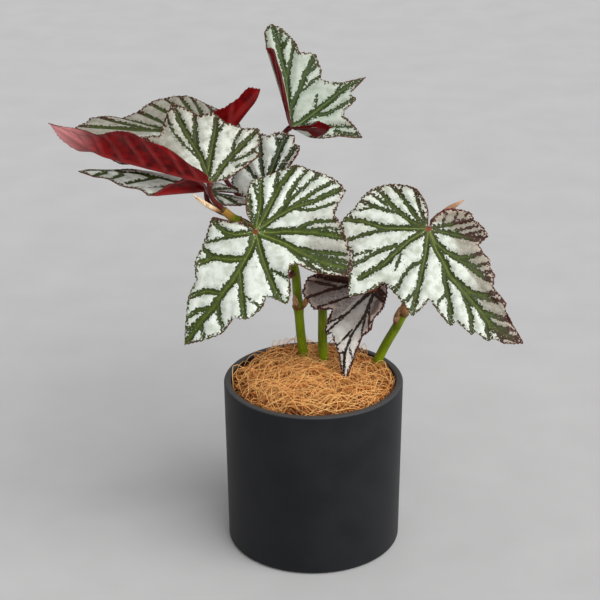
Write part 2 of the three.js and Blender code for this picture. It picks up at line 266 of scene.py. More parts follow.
class Finish:
    """A procedural material. Its methods add nodes to it and give back their wires."""

    def __init__(self, name, roughness, specular):
        self.material = bpy.data.materials.new(name)
        self.material.use_nodes = True
        self.tree = self.material.node_tree
        self.shader = self.tree.nodes["Principled BSDF"]
        self.set("Roughness", roughness)
        self.set("Specular IOR Level", specular)
        self.position = self.node("TexCoord", {}, output="Object")

    def feed(self, socket, value):
        """Gives a socket a plain value, a colour or the output of another node."""
        if isinstance(value, Wire):
            self.tree.links.new(value.socket, socket)
        elif socket.type == "RGBA":
            socket.default_value = (*value, 1.0)
        else:
            socket.default_value = value

    def set(self, name, value):
        self.feed(self.shader.inputs[name], value)

    def node(self, kind, inputs, output=0, **settings):
        made = self.tree.nodes.new("ShaderNode" + kind)
        for key, value in settings.items():
            setattr(made, key, value)
        for key, value in inputs.items():
            self.feed(made.inputs[key], value)
        return Wire(self, made.outputs[output])

    def number(self, field):
        """A number that was stored on the corners of the mesh."""
        return self.node("Attribute", {}, output="Fac", attribute_name=field)

    def noise(self, size_mm, detail=2.0, rough=0.5, squash=1.0):
        """Soft patches about size_mm across, from 0 to 1, drawn out upwards if squash is below 1."""
        where = self.node("Mapping", {"Vector": self.position, "Scale": (1, 1, squash)})
        inputs = {"Vector": where, "Scale": 1 / (size_mm * MM), "Detail": detail, "Roughness": rough}
        return self.node("TexNoise", inputs)

    def bump(self, height, depth_mm, strength=1.0):
        inputs = {"Height": height, "Distance": depth_mm * MM, "Strength": strength}
        self.set("Normal", self.node("Bump", inputs))

    def glow(self, weight, *radius_mm):
        """Lets some light travel under the surface."""
        self.set("Subsurface Weight", weight)
        self.set("Subsurface Radius", [r * MM for r in radius_mm])


# %% [markdown]
# ## The cover pot
# It is a slip-cast pot with a nearly straight wall, a soft rim and a small rounding at the foot.
# Anything from a wheel or a round mould is a profile turned about an axis, so the profile is drawn
# once, with its roundings as arcs, and spun. The merged spin closes the wall.

# %% Pot sizes
POT_HEIGHT = 127.0
POT_RIM_RADIUS = 65.0
POT_BASE_RADIUS = 63.4
POT_WALL = 5.5
POT_FLOOR = 6.0
FLOOR_BEVEL = 4.0
BASE_FILLET = 3.2
RIM_ROUNDING = 1.6
POT_STEPS = 160


def arc(centre_r, centre_z, radius, start, end, count):
    angles = np.radians(np.linspace(start, end, count))
    return [(centre_r + radius * math.cos(a), centre_z + radius * math.sin(a)) for a in angles]


inner_rim = POT_RIM_RADIUS - POT_WALL
inner_base = POT_BASE_RADIUS - POT_WALL
rim_z = POT_HEIGHT - RIM_ROUNDING
pot_profile = [
    (0, 0),
    *arc(POT_BASE_RADIUS - BASE_FILLET, BASE_FILLET, BASE_FILLET, -90, 0, 8),
    *arc(POT_RIM_RADIUS - RIM_ROUNDING, rim_z, RIM_ROUNDING, 0, 90, 7),
    *arc(inner_rim + RIM_ROUNDING, rim_z, RIM_ROUNDING, 90, 180, 7),
    (inner_base, POT_FLOOR + FLOOR_BEVEL),
    (inner_base - FLOOR_BEVEL, POT_FLOOR),
    (0, POT_FLOOR),
]

# %% Pot
bm = bmesh.new()
corners = [bm.verts.new((r * MM, 0, z * MM)) for r, z in pot_profile]
for a, b in zip(corners, corners[1:]):
    bm.edges.new((a, b))
bmesh.ops.spin(
    bm, geom=bm.verts[:] + bm.edges[:], cent=(0, 0, 0), axis=(0, 0, 1),
    angle=2 * math.pi, steps=POT_STEPS, use_merge=True,
)
bmesh.ops.remove_doubles(bm, verts=bm.verts, dist=MERGE_DISTANCE)
bmesh.ops.recalc_face_normals(bm, faces=bm.faces)
pot_mesh = mesh_from(bm, "cover_pot")

# %% [markdown]
# The surface is a matt charcoal coating over clay. It lies a little thicker in soft clouds and has a
# fine orange-peel grain that breaks the highlight. The rim, which is found from the height of the
# point, is made paler as a painted highlight.

# %% Pot finish
CHARCOAL = (0.0078, 0.0082, 0.01)
CHARCOAL_CLOUD = (0.0112, 0.0117, 0.0142)
CHARCOAL_RIM_HIGHLIGHT = (0.09, 0.087, 0.084)

coat = Finish("charcoal_coat", roughness=0.48, specular=0.2)
cloud = coat.noise(26, detail=4.0)
grain = coat.noise(0.7, detail=3.0, rough=0.6)
height = coat.node("SeparateXYZ", {"Vector": coat.position}, output="Z")
# The paler rim, found from the height of the point, is a painted highlight.
rim_highlight = (height + grain * 0.001).step(0.1262, 0.1276)
charcoal = cloud.step(0.35, 0.7).mix(CHARCOAL, CHARCOAL_CLOUD)
coat.set("Base Color", (rim_highlight * 0.7).mix(charcoal, CHARCOAL_RIM_HIGHLIGHT))
coat.set("Roughness", cloud * 0.16 + 0.42)
coat.bump(grain, 0.12, strength=0.35)

shown("cover_pot", pot_mesh, [coat.material], "pot_body", "pot")

# %% [markdown]
# ## Potting mix
# The mix fills the pot out of sight under the mulch, so its solid is kept as it is and only gets
# the look of damp, crumbly peat: dark clods, paler bark crumbs and a rough skin.

# %% Potting mix finish
damp = Finish("potting_mix", roughness=0.95, specular=0.2)
clods = damp.noise(5, detail=6.0, rough=0.65)
peat = clods.mix((0.012, 0.007, 0.004), (0.055, 0.03, 0.016))
bark = damp.noise(1.8, detail=3.0).step(0.62, 0.68)
damp.set("Base Color", bark.mix(peat, (0.16, 0.09, 0.045)))
damp.bump(clods, 2.0)
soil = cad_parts["potting_mix"]
soil.data.materials.clear()
soil.data.materials.append(damp.material)

# %% [markdown]
# ## Canes
# Three upright canes carry everything. They are fleshy and green, taper slowly and swell at the
# joints, where an old leaf has left a rusty ring. So the radius follows a formula, with a low
# swelling and a sharp little ridge at each joint. The distances to the nearest joint and from the
# tip are stored for the finish.

# %% Cane sizes
CANE_RADIUS = 3.3
CANE_TAPER = 0.7
NODE_SWELL = 0.9
NODE_RIDGE = 0.45

CANES = {
    "cane_left": {
        "axis": [(-5, 35, 96), (-6, 33, 121), (-9, 31, 148), (-11, 28, 176), (-14, 25, 205),
                 (-21, 22, 219), (-36, 18, 232), (-54, 14, 244), (-63, 11, 253)],
        "joints": [0.42, 0.92],
    },
    "cane_middle": {
        "axis": [(9, 23, 96), (8, 24, 122), (7, 25, 146), (7, 25, 170), (6, 26, 201), (4, 27, 228),
                 (-1, 30, 244)],
        "joints": [0.55],
    },
    "cane_right": {
        "axis": [(33, 24, 96), (44, 22, 123), (53, 20, 144), (63, 17, 165), (71, 15, 190),
                 (79, 12, 218), (87, 10, 244), (90, 9, 249)],
        "joints": [0.5, 0.96],
    },
}


def cane_radius(cane, u):
    swell = sum(np.exp(-(((u - joint) / 0.022) ** 2)) for joint in cane["joints"])
    return CANE_RADIUS + CANE_TAPER * (0.5 - u) + NODE_SWELL * swell


# %% Cane finish
CANE_GREEN = (0.19, 0.275, 0.005)
CANE_SHADED = (0.105, 0.155, 0.003)
CANE_PALE = (0.38, 0.48, 0.06)
JOINT_RUST = (0.15, 0.045, 0.012)
TIP_AMBER = (0.44, 0.24, 0.045)

skin = Finish("cane_skin", roughness=0.42, specular=0.2)
streak = skin.noise(1.1, detail=3.0, squash=0.12)
fleck = skin.noise(0.9, detail=1.0, squash=0.5)
green = skin.noise(14).step(0.3, 0.7).mix(CANE_SHADED, CANE_GREEN)
green = streak.step(0.4, 0.75).mix(green, CANE_GREEN)
green = (fleck.step(0.66, 0.72) * 0.6).mix(green, CANE_PALE)
green = (skin.number("joint") + streak * 2.5).step(3.6, 1.6).mix(green, JOINT_RUST)
skin.set("Base Color", skin.number("from_tip").step(11, 4).mix(green, TIP_AMBER))
skin.glow(0.08, 2, 3, 1)
skin.bump(streak, 0.25, strength=0.5)

# %% Canes
CANE_SIDES = 32
CANE_STEPS = 260
NO_TIP = 99

for name, cane in CANES.items():
    line = spline(cane["axis"], CANE_STEPS + 1)
    u = np.linspace(0, 1, CANE_STEPS + 1)
    length = step_lengths(line).sum()
    from_joint = np.min([np.abs(u - joint) * length for joint in cane["joints"]], axis=0)
    turn = all_round(CANE_SIDES)
    radius = cane_radius(cane, u) + NODE_RIDGE * np.exp(-((from_joint / 0.8) ** 2))
    radius = radius + 0.12 * np.sin(3 * turn + 5 * u) + 0.07 * np.sin(5 * turn - 9 * u)
    from_tip = (1 - u) * length if name == "cane_left" else NO_TIP
    mesh = tube(name.replace("cane", "stem"), line, radius, {"joint": from_joint, "from_tip": from_tip})
    shown(mesh.name, mesh, [skin.material], "cane", name)

# %% [markdown]
# ## The shape of a leaf
# A rex begonia's blade is lopsided: its ribs fan out from the spot where the stalk meets it, so it
# is described the way it grows. Each entry of a margin is a direction from the midrib in degrees,
# how far the edge is in that direction and, where it isn't 0, how far that part is folded up. A
# vein has its width and then the direction and distance of each of its points. A leaf drawn in this
# way keeps its veins in place however it is folded, which a picture wrapped round it wouldn't do.

# %% Leaf shapes
# Each leaf's blush list gives, by direction, how strongly its edge turns pink and rusty and its silver
# bronzes. The strong bronzing is partly the leaf's own tint and partly painted shade.
LEAVES = {}
LEAVES["leaf_front_left"] = dict(
    base=(-40, -14, 246), tip=(-0.53, -0.43, -0.73), face=(-0.15, -0.8, 0.58), cup=12, ruffle=1.5,
    stalk=("cane_left", 0.58), finish="silver",
    blush_and_shade=[
        (-235, 0.5), (-202, 0.3), (-165, 0.6), (-130, 0.8), (-100, 0.9), (-87, 0.5), (-60, 0.1), (16, 0.2),
        (49, 0.4), (77, 0.8), (99, 1.0),
    ],
    margin=[
        (-238, 14), (-233, 20), (-217, 38), (-203, 41), (-191, 49), (-182, 56), (-171, 58), (-156, 67),
        (-147, 69), (-140, 60), (-134, 56), (-121, 61), (-100, 72), (-95, 71), (-86, 50), (-83, 38),
        (-76, 36), (-69, 39), (-62, 49), (-55, 56), (-47, 49), (-41, 46), (-37, 53), (-26, 62), (-18, 62),
        (-13, 74), (-7, 81), (2, 92), (6, 83), (10, 74), (16, 65), (21, 53), (32, 48), (43, 40), (60, 35),
        (79, 33), (81, 26), (84, 17), (106, 10),
    ],
    veins=[
        (4, -230, 0, -230, 11, -224, 27), (4.5, -202, 0, -203, 20, -208, 41), (2.5, -203, 20, -216, 36),
        (5, -184, 0, -184, 20, -185, 37, -182, 56), (3, -185, 29, -193, 46),
        (4.5, -159, 0, -158, 16, -155, 30, -150, 46, -149, 69), (2, -150, 33, -143, 42, -142, 58),
        (3, -156, 32, -157, 51, -156, 65), (3, -160, 20, -166, 32, -165, 60),
        (3, -165, 27, -173, 42, -173, 58), (5.5, -115, 0, -118, 12, -122, 21, -120, 41, -117, 63),
        (3, -123, 28, -131, 40, -129, 57), (2, -122, 36, -124, 50, -122, 58),
        (5.5, -97, 0, -99, 22, -96, 33, -96, 50, -99, 68), (3, -99, 32, -101, 42, -107, 65),
        (2.5, -98, 43, -103, 69), (3, -96, 24, -90, 36, -88, 54), (2.5, -94, 40, -93, 56, -96, 69),
        (5, -45, 0, -46, 16, -48, 29, -50, 42, -52, 57), (2.5, -49, 28, -60, 34, -65, 39),
        (6, -26, 0, -20, 9, -15, 15, -9, 27, -7, 37, -3, 48, -2, 60, 1, 74, 2, 92),
        (4.5, -10, 30, -20, 46, -25, 64), (1.6, -21, 45, -31, 50, -36, 54), (3.5, -4, 57, -9, 66, -14, 71),
        (4.5, -2, 49, 9, 53, 16, 65), (3.5, -3, 59, 5, 66, 9, 76), (3, 1, 73, -5, 82), (3, 2, 75, 6, 84),
        (5, -12, 20, 12, 26, 28, 34, 31, 48), (3, 27, 34, 44, 39),
        (4.5, 45, 0, 52, 14, 60, 21, 70, 28, 77, 32), (2.5, 50, 15, 49, 36), (3, 95, 0, 98, 14),
    ],
)
LEAVES["leaf_right"] = dict(
    base=(80, -10, 246), tip=(0.63, -0.43, -0.65), face=(0.1, -0.78, 0.62), cup=14, ruffle=1.5,
    stalk=("cane_right", 0.82), finish="rusty",
    blush_and_shade=[
        (-114, 1.7), (-46, 1.5), (-38, 1.25), (-19, 1.2), (-5, 1.15), (3, 0.95), (9, 0.3), (16, 0.1),
        (135, 0.1), (150, 0.5), (171, 0.6), (205, 0.6), (219, 0.9),
    ],
    margin=[
        (-117, 7), (-104, 17), (-87, 27), (-75, 34), (-64, 34), (-46, 43), (-36, 37), (-30, 42), (-26, 48),
        (-20, 51), (-18, 56), (-10, 60), (-8, 75), (-5, 77), (-4, 84), (-2, 103), (5, 95), (7, 89),
        (11, 87), (14, 79), (17, 79), (22, 67), (26, 69), (32, 60), (39, 50), (50, 63), (59, 56), (66, 52),
        (79, 48), (81, 60), (88, 74), (101, 62), (110, 56), (124, 60), (134, 61), (146, 53), (162, 50),
        (183, 42), (203, 31), (220, 14),
    ],
    veins=[
        (3, -69, 0, -66, 14, -65, 35), (1.5, -66, 10, -95, 18), (1.5, -67, 18, -83, 25),
        (1.5, -67, 25, -77, 33), (4, -38, 0, -40, 23, -43, 41), (2, -50, 20, -56, 33, -59, 40),
        (2, -40, 24, -49, 35, -51, 41), (5, 6, 0, 12, 11, 2, 20, -7, 28), (3, -7, 28, -16, 34, -30, 42),
        (3.5, -2, 25, -8, 36, -10, 50, -12, 56), (2.5, -8, 34, -14, 42, -24, 49),
        (2, -9, 41, -13, 48, -19, 54),
        (5.5, 12, 0, 19, 16, 15, 26, 15, 36, 9, 53, 6, 70, 6, 80, 1, 95, -2, 102),
        (4, 15, 26, 22, 38, 24, 57, 26, 67), (3.5, 12, 44, 11, 51, 13, 66, 16, 78),
        (3.5, 7, 68, 7, 75, 10, 89), (2, 5, 85, 5, 94), (4, 15, 36, 9, 45, 5, 54, -1, 60, -8, 64),
        (3, 5, 56, -1, 63, -8, 74), (3.5, 8, 58, 6, 68, 0, 79, -4, 84), (2.5, 6, 74, 4, 82, -2, 91),
        (2, 5, 81, 3, 89, -1, 96), (4.5, 132, 0, 130, 20, 130, 31, 136, 45, 136, 59),
        (3, 128, 26, 125, 41, 121, 58), (4, 149, 0, 153, 14, 163, 31, 168, 39, 170, 47),
        (1.5, 151, 41, 145, 49), (3, 158, 24, 152, 41, 153, 50), (2, 160, 33, 162, 44, 161, 50),
        (3.5, 179, 0, 177, 15, 183, 33, 182, 42), (1.5, 183, 33, 192, 37), (2.5, 201, 0, 198, 13, 202, 31),
        (4.5, 97, 0, 97, 15, 93, 25, 90, 41, 93, 60), (3, 95, 21, 102, 29, 104, 39, 102, 61),
        (1.5, 107, 43, 108, 57), (1.2, 90, 24, 82, 31, 78, 38), (4.5, 49, 0, 46, 17, 49, 38, 51, 61),
        (2.8, 48, 23, 63, 29, 67, 37, 67, 52), (2.5, 49, 43, 58, 56), (1.5, 27, 48, 32, 51, 34, 56),
    ],
)
LEAVES["leaf_top"] = dict(
    base=(-16, 60, 298), tip=(-0.19, 0.43, 0.88), face=(0.1, -0.89, 0.45), cup=-6, ruffle=1,
    stalk=("cane_middle", 1), finish="sage",
    blush_and_shade=[(-30, 0.5), (15, 0.5), (60, 0.2), (82, 0.5), (98, 0.8), (109, 0.4)],
    margin=[
        (-100, 14, 86), (-80, 20, 86), (-60, 30, 86), (-40, 44, 85), (-28, 52, 82), (-18, 57, 80),
        (-11, 58, 70), (-7, 60, 30), (-5, 62), (-4, 72), (0, 76), (6, 72), (15, 62), (18, 55), (30, 57),
        (35, 52), (40, 48), (43, 42), (52, 44), (60, 50), (67, 66), (71, 50), (77, 53), (83, 42), (88, 40),
        (98, 46), (109, 53), (111, 36), (126, 15), (104, 36, 42), (94, 26, 42), (100, 20, 45),
    ],
    veins=[
        (4.5, 0, 0, 6, 12, 7, 25, 7, 36, 4, 50, 3, 62, 1, 74), (2.5, 3, 60, 6, 70), (1.8, 4, 55, 10, 66),
        (3, 7, 34, 11, 47, 14, 62), (4, 10, 0, 14, 14, 22, 23, 26, 32, 27, 42, 30, 56), (2, 29, 42, 35, 52),
        (2, 24, 25, 36, 36, 41, 44), (4.5, 76, 0, 76, 8, 71, 15, 68, 23, 66, 35, 65, 47, 65, 56, 66, 64),
        (3, 73, 20, 80, 29, 77, 42, 76, 52), (1.2, 63, 23, 51, 30), (1.2, 62, 43, 59, 50),
        (2, 98, 26, 99, 34, 100, 46), (3, 106, 33, 108, 52), (4, -60, 0, -60, 20, -42, 41),
        (4, -90, 0, -85, 22), (2.5, -15, 20, -20, 48),
    ],
)
LEAVES["leaf_left"] = dict(
    base=(-72, 2, 276), tip=(-0.96, 0.16, 0.21), face=(0.23, 0.11, 0.97), cup=0, ruffle=0,
    stalk=("cane_left", 1), finish="aged",
    blush_and_shade=[(-10, 0.7), (22, 0.9), (50, 0.8), (87, 0.6), (150, 0.3)],
    margin=[
        (-76, 6, 48), (-64, 11, 48), (-53, 20, 48), (-45, 30, 48), (-39, 46, 48), (-37, 58, 46),
        (-33, 66, 46), (-30, 70, 46), (-23, 79, 46), (-17, 85, 46), (-14, 97, 46), (-12, 118, 46),
        (-5, 106, 30), (-3, 97, 20), (1, 92), (12, 72, 50), (22, 56, 60), (30, 50, 62), (37, 54, 62),
        (50, 64, 62), (55, 60, 62), (66, 51, 62), (77, 51, 62), (87, 46, 62), (105, 47, 62), (116, 52, 62),
        (126, 45, 62), (127, 40, 62), (133, 43, 62), (138, 33, 62), (144, 20, 62), (150, 12, 62),
    ],
    veins=[
        (4.5, 62, 0, 61, 10, 57, 21, 52, 33, 50, 46, 50, 63), (3.5, 56, 30, 60, 41, 63, 53),
        (1.4, 53, 20, 42, 32, 40, 43, 43, 58), (4.5, 68, 9, 77, 23, 80, 36, 80, 50), (1.6, 81, 34, 88, 46),
        (4.5, 120, 0, 116, 6, 111, 14, 113, 29, 115, 42, 116, 52), (2, 111, 26, 104, 36, 104, 47),
        (2, 118, 22, 126, 32, 127, 41), (1.8, 132, 22, 137, 33),
        (5, -4, 0, -1, 24, -1, 43, -3, 75, -12, 118), (3, -3, 75, -15, 86), (3, -1, 60, -20, 80),
        (3, -1, 45, -27, 68), (3, -1, 30, -35, 60), (3, -1, 17, -42, 40), (3, -8, 8, -50, 24),
        (2, -8, 88, -13, 98), (2, -10, 98, -13, 107), (4, 0, 18, 20, 55),
    ],
)
LEAVES["leaf_back_left"] = dict(
    base=(-71, 72, 275), tip=(-0.99, 0, 0.17), face=(0.16, -0.31, 0.94), cup=6, ruffle=1.5,
    stalk=("cane_left", 0.74), finish="aged",
    blush_and_shade=[(-20, 0.9), (88, 0.9)],
    margin=[
        (-116, 14, 98), (-115, 55, 98), (-113, 64, 98), (-106, 59, 98), (-102, 48, 98), (-92, 39, 98),
        (-68, 33, 92), (-58, 30, 60), (-42, 40, 15), (-20, 72, 3), (5, 105), (11, 99), (16, 99), (19, 92),
        (23, 79), (37, 75), (52, 77), (61, 76), (71, 74), (82, 67), (88, 59), (125, 30, 5), (165, 12, 20),
    ],
    veins=[
        (5, 40, 0, 40, 22, 31, 37, 21, 50, 15, 62, 12, 74, 9, 88, 7, 104), (3, 21, 50, 18, 76, 18, 95),
        (3.5, 31, 37, 27, 52, 24, 70, 22, 87), (3.5, 40, 20, 36, 52, 35, 65, 35, 80),
        (4, 50, 10, 48, 57, 46, 64, 44, 80), (3.5, 58, 0, 58, 60, 55, 78), (3.5, 66, 10, 65, 61, 64, 76),
        (3, 74, 10, 73, 59, 71, 74), (3, 82, 10, 83, 58, 80, 68), (4, -10, 0, -12, 40, -20, 71),
        (4, -100, 0, -106, 30, -113, 60), (3, -70, 0, -72, 32), (3, -104, 28, -98, 46),
        (3, 125, 0, 125, 29),
    ],
)
LEAVES["leaf_lower_left"] = dict(
    base=(-76, 40, 257), tip=(-0.97, -0.11, 0.2), face=(0.2, 0.02, 0.98), cup=4, ruffle=1,
    stalk=("cane_left", 0.86), finish="silver",
    blush_and_shade=[(-60, 0.6), (60, 0.6)],
    margin=[
        (-178, 33), (-165, 35), (-152, 34), (-135, 26), (-112, 28), (-92, 24, 8), (-74, 28, 30),
        (-60, 36, 34), (-50, 46, 22), (-39, 58, 6), (-24, 56, 4), (-15, 53, 4), (-9, 65, 4), (0, 72, 4),
        (4, 85, 4), (6, 93), (11, 81), (17, 72), (24, 56), (46, 40), (65, 30), (102, 21), (125, 20),
        (142, 28), (154, 34), (168, 38),
    ],
    veins=[
        (5, 20, 0, 20, 22, 22, 36, 19, 52, 15, 66, 8, 90), (4, 20, 51, 16, 40, -6, 58),
        (4, 18, 66, 9, 62, 0, 70), (4, 12, 76, 8, 74, 3, 82), (4, 10, 20, -20, 53),
        (5, -45, 0, -42, 20, -40, 56), (5, -85, 0, -85, 12, -74, 27), (5, -150, 0, -148, 14, -142, 31),
        (4, -115, 0, -113, 29), (3, -168, 10, -165, 24), (4, 140, 0, 140, 15, 144, 27),
        (4, 100, 0, 104, 20), (3, 60, 0, 58, 32),
    ],
)
LEAVES["leaf_back_middle"] = dict(
    base=(-34, 24, 264), tip=(0.38, 0.32, 0.87), face=(-0.1, -0.92, 0.38), cup=10, ruffle=0,
    stalk=("cane_left", 0.66), finish="shaded",
    blush_and_shade=[(-43, 0.5), (22, 0.8)],
    margin=[
        (-140, 14), (-118, 20), (-100, 25), (-86, 25), (-72, 24), (-43, 29), (-28, 40), (-18, 38),
        (-12, 41), (0, 43), (8, 43), (10, 39), (18, 39), (22, 34), (26, 22), (63, 20), (100, 22),
        (140, 12),
    ],
    veins=[
        (5, -2, 0, -2, 14, -2, 33, 0, 47), (4, 21, 0, 21, 13, 14, 26, 14, 39),
        (3, -31, 0, -31, 14, -28, 39), (3, -65, 0, -62, 22), (3, 75, 0, 80, 20), (2, -2, 30, -12, 41),
        (3, -110, 0, -110, 10),
    ],
)
LEAVES["leaf_hanging"] = dict(
    base=(44, 2, 196), tip=(-0.3, -0.21, -0.93), face=(-0.1, -0.96, 0.25), cup=12, ruffle=0,
    stalk=("cane_right", 0.68), finish="dusky",
    blush_and_shade=[(-60, 2.4), (-12, 2.4), (-4, 1.5), (3, 0.2), (10, 0.2), (30, 0.6), (46, 1.4), (92, 1.7)],
    margin=[
        (-144, 9), (-99, 9), (-61, 11), (-32, 17), (-16, 21), (-13, 25), (-12, 30), (-3, 36), (-1, 52),
        (0, 72), (11, 55), (26, 45), (28, 49), (33, 47), (46, 34), (53, 47), (60, 49), (68, 53), (82, 49),
        (92, 36), (102, 21), (112, 9),
    ],
    veins=[
        (1.6, 6, 0, 3, 19, 9, 36, 7, 52, 1, 72), (0.8, 3, 18, -1, 35), (0.8, -2, 14, -9, 31),
        (1.6, 36, 0, 34, 10, 31, 22, 30, 46), (0.8, 31, 27, 36, 45), (2, 80, 0, 80, 19, 70, 34, 64, 50),
        (0.8, 76, 28, 79, 48), (0.8, 11, 33, 16, 50), (1.2, 60, 0, 56, 18, 54, 44), (7, -75, 0, -62, 10),
        (0.8, 8, 44, -1, 56), (0.8, 7, 50, 14, 58), (5, 90, 16, 86, 45),
    ],
)

# %% [markdown]
# The margin list becomes a smooth walk along the leaf's edge: a function gives the direction and
# the length of the line from the stalk to any place on it. Adding up the small turns between
# neighbouring directions gives each line's angle in the leaf laid flat, where distances to veins
# and to the edge are easy to measure.

# %% Walk along a margin
WALK_STEPS = 60


def leaf_axes(leaf):
    tip = unit(leaf["tip"])
    face = np.array(leaf["face"], float)
    face = unit(face - tip * (face @ tip))
    return tip, face, np.cross(tip, face)


def spokes(leaf, walk):
    """Angle, length and direction of the lines to the edge, at places along the margin list."""
    rows = np.array([(*row, 0)[:3] for row in leaf["margin"]], float)
    i = np.clip(walk.astype(int), 0, len(rows) - 2)
    u = (walk - i)[:, None]
    angle, length, _ = (rows[i] + (rows[i + 1] - rows[i]) * u).T
    lift = (rows[i] + (rows[i + 1] - rows[i]) * u * u * (3 - 2 * u))[:, 2]
    tip, face, side = leaf_axes(leaf)
    a, f = np.radians(angle)[:, None], np.radians(lift)[:, None]
    direction = np.cos(a) * tip + np.sin(a) * np.cos(f) * side + np.abs(np.sin(a)) * np.sin(f) * face
    return angle, length, direction


def unrolled(leaf, columns):
    """Lines to the edge at even distances along it, each with its angle in the leaf laid flat."""
    walk = np.linspace(0, len(leaf["margin"]) - 1, WALK_STEPS * len(leaf["margin"]))
    angle, length, direction = spokes(leaf, walk)
    turn = walked(direction)
    edge = walked(direction * length[:, None])
    even = np.linspace(0, edge[-1], columns + 1)
    _, even_length, even_direction = spokes(leaf, np.interp(even, edge, walk))
    return {
        "edge": even, "length": even_length, "direction": even_direction,
        "up": unit(np.cross(np.diff(direction, axis=0), direction[1:]).sum(axis=0)),
        "turn": np.interp(even, edge, turn),
        "turn_of": lambda degrees: np.interp(degrees, np.maximum.accumulate(angle), turn),
    }


# %% [markdown]
# Distances are measured on the flat leaf: to the nearest vein, to the rim of the nearest painted
# band, and to the edge. Veins and edges are chains of straight pieces, so one function does all the
# measuring. Pieces beyond the notch at the stalk are skipped, because a leaf laid flat may overlap
# itself there.

# %% Measure on the flat leaf
FAR = 99.0
FAR_SIDE = 2.4
RIB_WIDTH = 4.5
CREASE_WIDTH = 2.0
EDGE_STRIDE = 6


def from_piece(turn, out, start, end):
    """Distance from flat points to a straight piece, and the share of the piece that is nearest."""
    middle = (start[0] + end[0]) / 2
    x, y = out * np.cos(turn - middle), out * np.sin(turn - middle)
    (ax, ay), (bx, by) = (
        (far * math.cos(angle - middle), far * math.sin(angle - middle)) for angle, far in (start, end)
    )
    dx, dy = bx - ax, by - ay
    share = np.clip(((x - ax) * dx + (y - ay) * dy) / max(dx * dx + dy * dy, 1e-9), 0, 1)
    distance = np.hypot(x - ax - share * dx, y - ay - share * dy)
    return np.where(np.abs(turn - middle) < FAR_SIDE, distance, FAR), share


def vein_fields(leaf, flat, turn, out):
    """Signed distance to the painted bands, to the main ribs, and to any vein worth a crease."""
    band, rib, crease = (np.full(turn.shape, FAR) for _ in range(3))
    for width, *numbers in leaf["veins"]:
        points = list(zip(flat["turn_of"](numbers[::2]), numbers[1::2]))
        for k, (start, end) in enumerate(zip(points, points[1:])):
            distance, share = from_piece(turn, out, start, end)
            along = (k + share) / (len(points) - 1)
            band = np.minimum(band, distance - width * (0.5 - 0.08 * along) - 0.4)
            if width >= RIB_WIDTH:
                rib = np.minimum(rib, distance + 0.35 * along)
            if width >= CREASE_WIDTH:
                crease = np.minimum(crease, distance)
    return band, rib, crease


def edge_field(flat, turn, out):
    """Distance to the nearest place on the leaf's edge."""
    ends = flat["turn"][[0, -1]]
    chain = list(zip(flat["turn"][::EDGE_STRIDE], flat["length"][::EDGE_STRIDE]))
    chain = [(ends[0], 0.0), *chain, (ends[1], flat["length"][-1]), (ends[1], 0.0)]
    edge = np.full(turn.shape, FAR)
    for start, end in zip(chain, chain[1:]):
        edge = np.minimum(edge, from_piece(turn, out, start, end)[0])
    return edge


# %% [markdown]
# ## Leaf finishes
# The upper side has four layers. The ground is silver, with a fine blistered grain. Along every
# vein lies a green band with a feathered rim, for which noise is added to the distance before it is
# cut off, and loose green specks lie near it. A paler line runs down the main ribs. Last, the edge
# turns rusty red. Where the blush number is strong, silver and bands turn dark bronze, which is
# partly the leaf's own tint and partly painted shade on lobes turned away from the light. The
# dusky leaf's silver also darkens near its stalk as painted shade. Other colours give the shaded
# leaves behind and the dusky young leaf that hangs between the canes.

# %% Upper side of a leaf
RUST = (0.15, 0.018, 0.012)
# Bronze band paint and bronzed silver are partly the leaves' own tint and partly painted shade.
BRONZE_AND_SHADE = (0.036, 0.01, 0.004)
BRONZED_AND_SHADED_SILVER = (0.215, 0.182, 0.135)
PINK = (0.42, 0.22, 0.16)
BASE_SPOT = (0.19, 0.045, 0.02)


